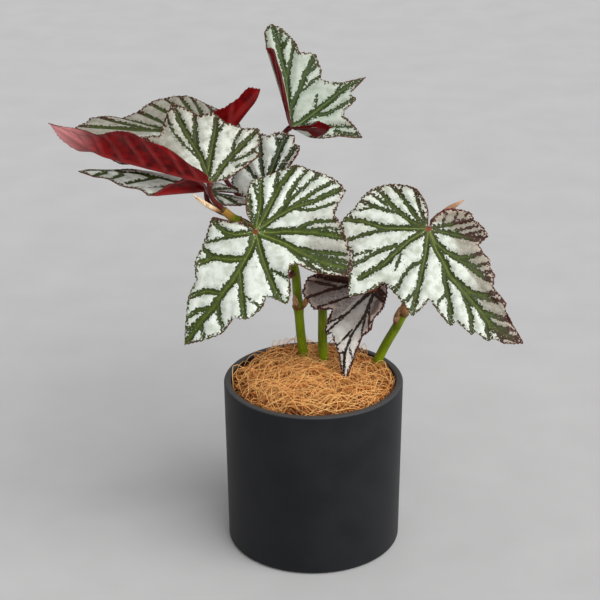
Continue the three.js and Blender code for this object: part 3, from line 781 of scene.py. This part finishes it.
def upper_finish(
    name, silver, tarnish, dark, green, line, rusty_from, bronzed_and_shaded_silver=BRONZED_AND_SHADED_SILVER, rag=4.8, stalk_shade_reach=0.1
):
    leaf = Finish(name, roughness=0.45, specular=0.2)
    band, rib, edge, reach, blush_and_shade = map(leaf.number, ("band", "rib", "edge", "reach", "blush_and_shade"))
    fine = leaf.noise(1.5, detail=3.0, rough=0.6)
    middling = leaf.noise(5.0)
    specks = leaf.noise(1.0, detail=1.0)

    feather = (leaf.noise(1.7) - 0.5) * rag
    wander = (middling - 0.5) * 2.4
    ragged = (band + (feather + wander)).least(edge - 1.5 + feather * 1.8 + wander)
    loose = (specks - (band * 0.03 + 0.635)).step(0.0, 0.03)
    islets = (specks + edge * -0.012).step(0.62, 0.65)
    painted = ragged.step(0.14, -0.14).most(loose * 0.9) * islets.rest()

    ground = middling.step(0.35, 0.75).mix(silver, tarnish)
    ground = (fine.step(0.5, 0.8) * 0.35).mix(ground, tarnish)
    # Bronzing is partly the leaf's own tint and partly painted shade.
    bronzing_and_shade = (blush_and_shade.step(0.62, 1.0) * (fine * 0.9 + 0.35)).most(blush_and_shade.step(1.1, 1.7))
    # Within the given reach of the stalk, the silver darkens as painted shade.
    ground = bronzing_and_shade.most(reach.step(stalk_shade_reach, stalk_shade_reach / 2) * 0.6).mix(ground, bronzed_and_shaded_silver)
    near_edge = edge + middling * 6.0
    pinkish = [(t + p) / 2 for t, p in zip(tarnish, PINK)]
    ground = (near_edge.step(8.0, 2.0) * blush_and_shade).mix(ground, pinkish)

    paint = ragged.step(-0.3, -3.4).mix(dark, green)
    paint = (rib + fine).step(1.1, 0.55).mix(paint, line)
    rusty = near_edge.step(rusty_from, rusty_from * 0.35) * blush_and_shade
    # Bands turn bronze near the edge as rust, and where the blush is strong as painted shade.
    paint = rusty.most(blush_and_shade.step(1.2, 1.45)).mix(paint, BRONZE_AND_SHADE)

    surface = painted.mix(ground, paint)
    surface = (edge + fine * 1.6).step(1.25, 0.75).mix(surface, RUST)
    leaf.set("Base Color", (reach + fine).step(3.0, 1.8).mix(surface, BASE_SPOT))
    leaf.set("Roughness", painted * 0.08 + 0.42)
    leaf.bump(leaf.noise(1.6) + painted * -0.3, 0.22)
    return leaf.material


SILVER_FINISHES = {
    "silver": upper_finish("silver_blade", (0.72, 0.75, 0.68), (0.49, 0.54, 0.45), (0.03, 0.046, 0.009),
                           (0.078, 0.11, 0.012), (0.18, 0.22, 0.05), 9.0),
    "rusty": upper_finish("rusty_edged_blade", (0.68, 0.71, 0.64), (0.44, 0.47, 0.38), (0.028, 0.04, 0.008),
                          (0.07, 0.094, 0.011), (0.16, 0.19, 0.04), 14.0),
    "aged": upper_finish("aged_blade", (0.63, 0.65, 0.57), (0.34, 0.35, 0.28), (0.03, 0.038, 0.008),
                         (0.064, 0.082, 0.014), (0.15, 0.17, 0.04), 12.0),
    "sage": upper_finish("sage_blade", (0.47, 0.51, 0.44), (0.35, 0.4, 0.32), (0.03, 0.046, 0.011),
                         (0.056, 0.09, 0.019), (0.15, 0.21, 0.055), 8.0),
    "shaded": upper_finish("shaded_blade", (0.58, 0.61, 0.55), (0.4, 0.43, 0.38), (0.018, 0.026, 0.009),
                           (0.042, 0.058, 0.018), (0.1, 0.13, 0.05), 8.0),
    # The dusky leaf's silver darkens for 50 mm from its stalk as painted shade, and its dark bronze is
    # partly painted shade.
    "dusky": upper_finish("dusky_blade", (0.84, 0.85, 0.8), (0.62, 0.6, 0.55), (0.022, 0.012, 0.006),
                          (0.036, 0.026, 0.012), (0.06, 0.05, 0.03), 9.0, (0.13, 0.088, 0.075), 2.0, 50.0),
}

# %% [markdown]
# The underside is a deep crimson that shows where a leaf folds over. Its ribs stand out and are
# pinker, the skin between them is darker, and a light satin bloom is better made by sheen than by a
# stronger gloss. Far from the stalk it turns rose, a painted highlight.

# %% Underside and rim of a leaf
CRIMSON = (0.235, 0.0025, 0.004)
CRIMSON_DEEP = (0.085, 0.001, 0.002)
RIB_PINK = (0.4, 0.045, 0.042)
TIP_HIGHLIGHT_ROSE = (0.8, 0.33, 0.33)

under = Finish("crimson_underside", roughness=0.42, specular=0.12)
patch = under.noise(7, detail=3.0)
skin = patch.step(0.35, 0.7).mix(CRIMSON, CRIMSON_DEEP)
skin = (under.number("band").step(1.0, -1.6) * 0.4).mix(skin, RIB_PINK)
skin = ((under.number("rib") + patch).step(1.3, 0.7) * 0.75).mix(skin, RIB_PINK)
# The rose far from the stalk is a painted highlight.
under.set("Base Color", (under.number("reach").step(76, 118) * 0.95).mix(skin, TIP_HIGHLIGHT_ROSE))
under.set("Sheen Weight", 0.04)
under.set("Sheen Roughness", 0.4)
under.set("Sheen Tint", (1.0, 0.45, 0.45))
under.bump(under.noise(1.4), 0.2)

rim = Finish("leaf_rim", roughness=0.5, specular=0.2)
rim.set("Base Color", rim.noise(2.5).mix((0.2, 0.035, 0.022), (0.06, 0.016, 0.01)))

# %% [markdown]
# ## Blades
# Each blade starts as a grid with one column for each line to the edge. A real one swells between
# the veins and is pulled down along them, its edge is finely toothed, and it waves a little. All
# three are small moves of the grid's corners. A Solidify modifier gives the sheet its thickness,
# with the crimson finish on the inner face and the rim finish round the edge.

# %% Blades
COLUMNS = 420
RINGS = 72
BLADE_THICKNESS = 0.6
SWELL = 2.2
CREASE_REACH = 3.2
TOOTH = 1.3
TOOTH_PITCH = 3.3


def blade_points(leaf, flat, seed):
    """Corners of the blade's middle skin and the distances that its finish needs."""
    reach = np.linspace(0, 1, RINGS + 1)[None, :]
    turn = np.broadcast_to(flat["turn"][:, None], (COLUMNS + 1, RINGS + 1))
    out = flat["length"][:, None] * reach
    band, rib, crease = vein_fields(leaf, flat, turn, out)
    edge = edge_field(flat, turn, out)

    rng = np.random.default_rng(seed)
    along = flat["edge"]
    pitch = along / TOOTH_PITCH + 0.8 * np.sin(along / 7 + rng.uniform(0, 6))
    near_notch = np.clip(np.minimum(along, along[-1] - along) / 8, 0, 1)
    teeth = (TOOTH * ((pitch % 1) - 0.6) * near_notch)[:, None] * reach**9
    wave = leaf["ruffle"] * reach**3 * np.sin(7 * turn)
    wave = wave + 0.9 * reach**5 * np.sin(along / 5.5 + rng.uniform(0, 6))[:, None]
    _, face, _ = leaf_axes(leaf)
    rise = face * (wave - leaf["cup"] * (out / 100) ** 2)[:, :, None]
    middle = np.array(leaf["base"], float) + flat["direction"][:, None, :] * (out + teeth)[:, :, None] + rise

    normal = np.cross(np.gradient(middle, axis=0), np.gradient(middle, axis=1))
    normal /= np.maximum(np.linalg.norm(normal, axis=2, keepdims=True), 1e-9)
    calm = np.clip(out / 14, 0, 1) * np.clip(edge / 5, 0.15, 1)
    swell = SWELL * calm * (1 - np.exp(-((crease / CREASE_REACH) ** 2)))
    # The blush number carries both the leaf's own tint and painted shade.
    blush_and_shade = np.interp(flat["turn"], *zip(*((flat["turn_of"](a), share) for a, share in leaf["blush_and_shade"])))
    blush_and_shade = blush_and_shade[:, None] * np.clip(1.6 * reach, 0, 1)
    fields = {"band": band, "rib": rib, "edge": edge, "reach": out, "blush_and_shade": blush_and_shade}
    return middle + normal * (swell - 0.35 * SWELL * calm)[:, :, None], fields


for seed, (name, leaf) in enumerate(LEAVES.items()):
    leaf["flat"] = unrolled(leaf, COLUMNS)
    blade_name = name.replace("leaf", "blade")
    mesh = sewn(grid_mesh(blade_name, *blade_points(leaf, leaf["flat"], seed)), fill=False)
    finishes = [SILVER_FINISHES[leaf["finish"]], under.material, rim.material]
    solidify = thickened(shown(blade_name, mesh, finishes, "leaf_blade", name), BLADE_THICKNESS)
    solidify.material_offset = 1
    solidify.material_offset_rim = 2

# %% [markdown]
# ## Stalks
# Each leaf hangs on a dark red, slightly ribbed stalk. It leaves its cane square on, or carries on
# from the cane's tip, and meets the blade square on too, so a Bezier curve is its natural shape. It
# grows a little wider towards the cane.

# %% Stalks
STALK_RADIUS = 1.7
STALK_SIDES = 20
STALK_STEPS = 60
BEZIER_STEPS = 200
CANE_SAMPLES = 1000

stem = Finish("stalk_skin", roughness=0.42, specular=0.2)
streak = stem.noise(0.9, detail=3.0, squash=0.2)
blotch = stem.noise(6)
red = streak.step(0.35, 0.7).mix((0.115, 0.012, 0.01), (0.06, 0.007, 0.007))
red = (blotch.step(0.55, 0.8) * 0.5).mix(red, (0.16, 0.055, 0.02))
green_end = (stem.number("from_cane") + blotch * 8).step(9, 4) * 0.7
stem.set("Base Color", green_end.mix(red, (0.11, 0.1, 0.018)))
stem.bump(streak, 0.3, strength=0.6)

for name, leaf in LEAVES.items():
    cane_name, share = leaf["stalk"]
    cane = CANES[cane_name]
    axis = spline(cane["axis"], CANE_SAMPLES + 1)
    nearest = round(share * CANE_SAMPLES)
    along = tangents(axis)[nearest]
    up = leaf["flat"]["up"]
    end = np.array(leaf["base"], float) - up * 0.3
    leaving, start = along, axis[nearest] - along * 0.5
    if share < 1:
        towards = end - axis[nearest]
        leaving = unit(towards - along * (towards @ along))
        start = axis[nearest] + leaving * (cane_radius(cane, share) - 0.8)
    pull = 0.42 * np.linalg.norm(end - start)
    u = np.linspace(0, 1, BEZIER_STEPS)[:, None]
    weights = ((1 - u) ** 3, 3 * u * (1 - u) ** 2, 3 * u**2 * (1 - u), u**3)
    ends = (start, start + leaving * pull, end - up * pull, end)
    line = evenly(sum(w * p for w, p in zip(weights, ends)), STALK_STEPS + 1)
    v = np.linspace(0, 1, STALK_STEPS + 1)
    flare = 0.5 * (1 - v) ** 3 + 0.5 * np.exp(-((v / 0.03) ** 2)) + 0.35 * np.exp(-(((1 - v) / 0.04) ** 2))
    radius = STALK_RADIUS + flare + 0.1 * np.sin(4 * all_round(STALK_SIDES) + 2 * v)
    from_cane = v * step_lengths(line).sum()
    mesh = tube(name.replace("leaf", "petiole"), line, radius, {"from_cane": from_cane})
    shown(mesh.name, mesh, [stem.material], "leaf_stalk", name.replace("leaf", "stalk"))

# %% [markdown]
# ## Papery sheaths and the bud
# A begonia wraps each young leaf in a pair of thin bracts. Later they dry to papery tan tongues
# that stay at the joint, and at the growing tip they close round a pointed bud. A tongue is a grid
# bent into a gutter, whose width follows a short table, and Solidify makes it as thick as paper.


# %% Sheath finish
def paper_finish(name, pale, tan, brown, foot):
    paper = Finish(name, roughness=0.62, specular=0.3)
    streak = paper.noise(0.8, detail=4.0, rough=0.6, squash=0.25)
    shade = streak.step(0.35, 0.65).mix(pale, tan)
    shade = paper.noise(4).step(0.56, 0.72).mix(shade, brown)
    paper.set("Base Color", paper.number("share").step(0.35, 0.05).mix(shade, foot))
    paper.glow(0.15, 2, 1, 0.6)
    paper.bump(streak, 0.3, strength=0.7)
    return paper.material


TAN_PAPER = paper_finish(
    "tan_paper", (0.55, 0.36, 0.2), (0.3, 0.15, 0.07), (0.13, 0.05, 0.02), (0.16, 0.05, 0.02)
)
CREAM_PAPER = paper_finish(
    "cream_paper", (0.86, 0.7, 0.5), (0.62, 0.4, 0.2), (0.36, 0.2, 0.09), (0.3, 0.13, 0.03)
)
ORANGE_PAPER = paper_finish(
    "orange_paper", (0.56, 0.3, 0.13), (0.36, 0.13, 0.045), (0.16, 0.045, 0.018), (0.16, 0.11, 0.03)
)
BUD_PAPER = paper_finish(
    "pink_bud_paper", (0.66, 0.42, 0.26), (0.5, 0.24, 0.13), (0.36, 0.13, 0.07), (0.3, 0.13, 0.03)
)

# %% [markdown]
# Each row gives a tongue's line, half its width, its curl in degrees and its finish. Two have a
# twin on the other side of the same joint.

# %% Sheaths
SHEATH_THICKNESS = 0.35
SHEATH_STEPS = 49
SHEATH_COLUMNS = 17
SHEATHS = {
    "sheath_left_tip": ([(-65.4, 7.3, 253), (-71.5, 5, 257), (-78, 4, 262), (-84, 3, 268)],
                        2.6, 200, CREAM_PAPER),
    "sheath_left_joint": ([(-12, 23.2, 172), (-13, 22.5, 178), (-14, 21, 184)], 2.3, 150, TAN_PAPER),
    "sheath_left_joint_twin": ([(-7.2, 24.6, 172), (-5.4, 23.6, 177), (-4.2, 22.2, 183)],
                               2.3, 150, ORANGE_PAPER),
    "sheath_right_joint": ([(66, 11.2, 170), (66.4, 10.6, 178), (69, 9.6, 188)], 3.0, 120, ORANGE_PAPER),
    "sheath_right_joint_twin": ([(59.6, 14.4, 163), (60.8, 12.6, 170), (62.6, 11.4, 178)],
                                2.6, 140, TAN_PAPER),
}
SHEATH_OUTLINE = [(0, 0.55), (0.15, 0.95), (0.4, 1.0), (0.65, 0.75), (0.85, 0.4), (1, 0.06)]


def outline(table, places):
    """A value read off a short table of (place, value) rows."""
    return np.interp(places, *zip(*table))


for seed, (name, (axis, half_width, curl, paper)) in enumerate(SHEATHS.items()):
    rng = np.random.default_rng(40 + seed)
    share = np.linspace(0, 1, SHEATH_STEPS)
    line = spline(axis, SHEATH_STEPS)
    across, other = carried(line, (0, -1, 0))
    sideways = np.linspace(-1, 1, SHEATH_COLUMNS)[:, None]
    half_curl = math.radians(curl) / 2
    bend = sideways * half_curl
    radius = half_width * outline(SHEATH_OUTLINE, share) / half_curl
    gutter = radius * (np.cos(bend) - math.cos(half_curl / 2))
    ragged = 0.25 * np.sin(11 * share + 6 * sideways + rng.uniform(0, 6)) * share
    flutter = (radius * np.sin(bend) * (1 + 0.4 * share))[:, :, None] * other[None]
    points = line[None] + flutter + (gutter + ragged)[:, :, None] * across[None]
    mesh = grid_mesh(name.replace("sheath", "bract"), points, {"share": share})
    thickened(shown(mesh.name, mesh, [paper], "papery_sheath", name.replace("_twin", "")), SHEATH_THICKNESS)

# %% [markdown]
# The bud is still closed, so it is a tube that swells, tapers to a sharp point and has a low seam
# where its two bracts overlap.

# %% Bud
BUD_AXIS = [(90.6, 8.8, 249.9), (96, 8, 254.5), (101, 6, 258.5), (106, 5, 262)]
BUD_OUTLINE = [(0, 1.7), (0.12, 2.0), (0.35, 2.0), (0.6, 1.5), (0.85, 0.8), (1, 0.12)]
BUD_SIDES = 28
BUD_STEPS = 81

share = np.linspace(0, 1, BUD_STEPS)
turn = all_round(BUD_SIDES)
seam = 0.25 * np.exp(-(((turn - 2.2 - 0.9 * share) / 0.22) ** 2))
radius = outline(BUD_OUTLINE, share) * (1 + 0.12 * np.cos(2 * turn) + seam)
bud = tube("growing_bud", spline(BUD_AXIS, BUD_STEPS), radius, {"share": share})
shown("growing_bud", bud, [BUD_PAPER], "papery_sheath", "bud_right_tip")

# %% [markdown]
# ## Coconut fibre
# The mulch is a springy tangle, and what the eye reads is the single strands. So thousands of short
# curved hairs lie on a low mound, each with its own tint, and a dark rough disc underneath stops
# light from falling through; its dark colour is painted shade for the depths of the tangle. The low
# batch of strands is darkened as painted shade, the high batch and the loose strands are lightened
# as painted light, and the palest colour is a painted highlight. The strands of a batch are one curve
# object, because a bevelled curve gives them all their thickness in one go. It is made a mesh
# afterwards.

# %% Mound
MULCH_RADIUS = 58.9
MULCH_EDGE = 124.0
MULCH_CROWN = 126.0
MULCH_DEPTH = 8.0
BED_SQUARES = 60
BED_BELOW = 2.2


def mound_height(x, y):
    """The lie of the mulch: a low mound, dipped at the back left and banked in front and behind."""
    reach = np.hypot(x, y)
    mound = MULCH_CROWN + (MULCH_EDGE - MULCH_CROWN) * (reach / MULCH_RADIUS) ** 2
    lumps = np.sin(x * 0.23 + 1.1) * np.cos(y * 0.19 - 0.4) + 0.8 * np.sin(x * 0.41 - y * 0.37 + 2.0)
    dip = 4.0 * np.exp(-(((x + 42) / 14) ** 2) - (((y - 34) / 12) ** 2))
    bank = 1.7 * np.exp(-(((reach - 52) / 9) ** 2)) * np.clip(np.abs(y) / 40, 0, 1)
    return mound + lumps - dip + bank


bm = bmesh.new()
bmesh.ops.create_grid(bm, x_segments=BED_SQUARES, y_segments=BED_SQUARES, size=MULCH_RADIUS * MM)
outside = [v for v in bm.verts if v.co.length > (MULCH_RADIUS - 1) * MM]
bmesh.ops.delete(bm, geom=outside, context="VERTS")
wall = bmesh.ops.extrude_edge_only(bm, edges=[e for e in bm.edges if e.is_boundary])["geom"]
for v in bm.verts:
    v.co.z = (mound_height(v.co.x / MM, v.co.y / MM) - BED_BELOW) * MM
for v in wall:
    if isinstance(v, bmesh.types.BMVert):
        v.co.z = (MULCH_EDGE - MULCH_DEPTH) * MM
bmesh.ops.holes_fill(bm, edges=[e for e in bm.edges if e.is_boundary], sides=0)
bmesh.ops.recalc_face_normals(bm, faces=bm.faces)

# %% Coir finishes
bed = Finish("coir_bed", roughness=0.95, specular=0.1)
dark = bed.noise(1.6, detail=5.0, rough=0.7)
# The bed's dark colour is painted shade for the depths of the tangle.
bed.set("Base Color", dark.step(0.3, 0.75).mix((0.014, 0.006, 0.002), (0.14, 0.052, 0.013)))
bed.bump(dark, 1.5)
shown("coir_bed", mesh_from(bm, "coir_bed"), [bed.material], "coir", "coir_mulch")

fibre = Finish("coir_fibre", roughness=0.5, specular=0.35)
# A strand's tint is partly its own colour and partly painted light from its batch.
tint_and_light = fibre.number("tint_and_light")
straw = tint_and_light.step(0.0, 0.5).mix((0.16, 0.04, 0.007), (0.72, 0.255, 0.048))
# The palest colour is a painted highlight.
straw = tint_and_light.step(0.55, 1.0).mix(straw, (0.97, 0.55, 0.19))
fibre.set("Base Color", (fibre.noise(5).step(0.5, 0.8) * 0.4).mix(straw, (0.28, 0.095, 0.022)))
fibre.glow(0.1, 1, 0.6, 0.3)

# %% Strands
STRAND_POINTS = 9
TRIES = 6
OVERHANG = 5
CANE_CLEARANCE = 4.4
along_strand = np.linspace(0, 1, STRAND_POINTS)[None, :]


def drawn_in(path, radius):
    """Moves the points of strands that are outside a circle onto it. Gives each point's old reach."""
    reach = np.hypot(path[:, :, 0], path[:, :, 1])
    path[:, :, :2] *= np.minimum(1, radius / np.maximum(reach, 1e-6))[:, :, None]
    return reach


def strands(rng, wanted, length_range, lift_range, wander):
    """Wandering lines over the mound. Those that stray well past its edge are dropped."""
    count = TRIES * wanted
    start_r = MULCH_RADIUS * np.sqrt(rng.uniform(0, 1, count))
    start_a = rng.uniform(0, 2 * math.pi, count)
    heading = rng.uniform(0, 2 * math.pi, count)
    turning = rng.normal(0, wander, count)
    length = rng.uniform(*length_range, count)
    x, y = start_r * np.cos(start_a), start_r * np.sin(start_a)
    path = np.zeros((count, STRAND_POINTS, 3))
    drift = rng.uniform(-0.5, 0.5, count)[:, None]
    lift = rng.uniform(*lift_range, count)[:, None]
    for k in range(STRAND_POINTS):
        path[:, k, 0], path[:, k, 1] = x, y
        heading = heading + turning / STRAND_POINTS + rng.normal(0, 0.16, count)
        x = x + np.cos(heading) * length / STRAND_POINTS
        y = y + np.sin(heading) * length / STRAND_POINTS
    arch = lift * np.sin(math.pi * np.clip(along_strand + drift * 0.4, 0, 1)) ** 1.5
    path[:, :, 2] = mound_height(path[:, :, 0], path[:, :, 1]) - 1.4 + arch
    reach = drawn_in(path, MULCH_RADIUS - 0.2)
    return path[reach.max(axis=1) < MULCH_RADIUS + OVERHANG][:wanted]


def batch(name, path, radius_range, rng, painted_light):
    """One mesh of many strands, each with a tint that the batch's painted light shifts."""
    curve = bpy.data.curves.new(name, "CURVE")
    curve.dimensions = "3D"
    curve.bevel_depth = 1.0 * MM
    curve.bevel_resolution = 0
    curve.use_fill_caps = True
    radius = rng.uniform(*radius_range, len(path))
    taper = np.array([0.6] + [1.0] * (STRAND_POINTS - 2) + [0.4])
    for strand, width in zip(path, radius):
        line = curve.splines.new("POLY")
        line.points.add(STRAND_POINTS - 1)
        line.points.foreach_set("co", np.column_stack([strand * MM, np.ones(STRAND_POINTS)]).ravel())
        line.points.foreach_set("radius", taper * width)
    holder = bpy.data.objects.new(name, curve)
    scene.collection.objects.link(holder)
    mesh = bpy.data.meshes.new_from_object(holder.evaluated_get(bpy.context.evaluated_depsgraph_get()))
    bpy.data.objects.remove(holder)
    bpy.data.curves.remove(curve)
    mesh.name = name
    tints_and_light = np.clip(rng.uniform(0, 1, len(path)) ** 1.2 + painted_light, 0, 1)
    store(mesh, "tint_and_light", np.repeat(tints_and_light, len(mesh.vertices) // len(path)))
    shown(name, mesh, [fibre.material], "coir", "coir_mulch")


def clear_of_canes(path):
    """Pushes strands out of the canes that stand in the mulch."""
    for cane in CANES.values():
        line = spline(cane["axis"], 60)
        for foot in line[line[:, 2] < 150][::2]:
            off = path - foot
            gap = np.linalg.norm(off[:, :, :2], axis=2)
            near = (np.abs(off[:, :, 2]) < 4) & (gap < CANE_CLEARANCE)
            push = np.where(near, (CANE_CLEARANCE - gap) / np.maximum(gap, 1e-6), 0)
            path[:, :, :2] += off[:, :, :2] * push[:, :, None]
    return path


rng = np.random.default_rng(11)
# The low batch is darkened as painted shade, and the high batch is lightened as painted light.
for layer, count, lengths, lifts, wander, widths, painted_light in [
    ("a", 2600, (10, 28), (0.0, 2.5), 1.6, (0.16, 0.26), -0.45),
    ("b", 1000, (15, 45), (1.0, 6.0), 2.0, (0.15, 0.23), 0.0),
    ("c", 700, (24, 80), (4.0, 12.0), 1.4, (0.16, 0.26), 0.6),
]:
    path = clear_of_canes(strands(rng, count, lengths, lifts, wander))
    batch("coir_fibres_" + layer, path, widths, rng, painted_light)

# %% [markdown]
# Ninety strands have sprung free, most of them at the back left and the rest at the right of the
# rim. They start in the mulch and rise in a slack curve.

# %% Loose strands
LOOSE = 90
LOOSE_REACH = 59.0


def loose_strands(rng):
    back_left = rng.random(LOOSE) < 0.7
    angle = np.radians(np.where(back_left, rng.normal(118, 22, LOOSE), rng.normal(5, 16, LOOSE)))
    radius = rng.uniform(40, 56, LOOSE)
    foot = np.column_stack([radius * np.cos(angle), radius * np.sin(angle)])
    height = np.where(back_left, rng.uniform(5, 13, LOOSE), rng.uniform(3, 6, LOOSE))
    lean = rng.uniform(0, 2 * math.pi, LOOSE)
    lean = np.column_stack([np.cos(lean), np.sin(lean)])
    ahead = rng.uniform(3, 12, LOOSE)[:, None] * along_strand
    bow = rng.normal(0, 2.5, LOOSE)[:, None] * np.sin(math.pi * along_strand)
    path = np.zeros((LOOSE, STRAND_POINTS, 3))
    path[:, :, 0] = foot[:, :1] + lean[:, :1] * ahead - lean[:, 1:] * bow
    path[:, :, 1] = foot[:, 1:] + lean[:, 1:] * ahead + lean[:, :1] * bow
    drawn_in(path, LOOSE_REACH)
    rise = height[:, None] * np.sin(math.pi * 0.6 * along_strand)
    path[:, :, 2] = mound_height(path[:, :, 0], path[:, :, 1]) - 1.5 + rise
    return path


# The loose strands are lightened as painted light.
batch("coir_fibres_loose", clear_of_canes(loose_strands(rng)), (0.12, 0.2), rng, 0.35)

# %% [markdown]
# ## Floor and light
# The plant stands on a pale seamless floor under soft light from above, the front and a little from
# the right, so its shadow lies faintly behind it to the left. The floor is a disc so wide that no
# view sees its edge near the plant.

# %% Floor
FLOOR_RADIUS = 4000.0
FLOOR_Z = -0.3

bm = bmesh.new()
bmesh.ops.create_circle(bm, cap_ends=True, segments=96, radius=FLOOR_RADIUS * MM)
floor = bpy.data.objects.new("floor", mesh_from(bm, "floor"))
floor.location.z = FLOOR_Z * MM
pale = Finish("pale_floor", roughness=0.9, specular=0.1)
pale.set("Base Color", pale.noise(60, detail=4.0).mix((0.51, 0.505, 0.5), (0.59, 0.585, 0.58)))
floor.data.materials.append(pale.material)
scene.collection.objects.link(floor)


# %% Light
def far_lamp(name, comes_from, strength, softness):
    """A lamp so far away that it lights the whole floor evenly; softness is its width in degrees."""
    lamp = bpy.data.lights.new(name, "SUN")
    lamp.energy = strength
    lamp.angle = math.radians(softness)
    holder = bpy.data.objects.new(name, lamp)
    x, y, z = comes_from
    holder.rotation_euler = (math.atan2(math.hypot(x, y), z), 0, math.atan2(x, -y))
    scene.collection.objects.link(holder)


far_lamp("key", (0.45, -0.8, 0.72), 2.1, 55)
far_lamp("side", (1.0, -0.3, 0.4), 1.3, 34)

world = bpy.data.worlds.new("studio")
world.use_nodes = True
background = world.node_tree.nodes["Background"]
background.inputs["Color"].default_value = (0.96, 0.98, 1.0, 1.0)
background.inputs["Strength"].default_value = 0.45
scene.world = world
scene.view_settings.view_transform = "Standard"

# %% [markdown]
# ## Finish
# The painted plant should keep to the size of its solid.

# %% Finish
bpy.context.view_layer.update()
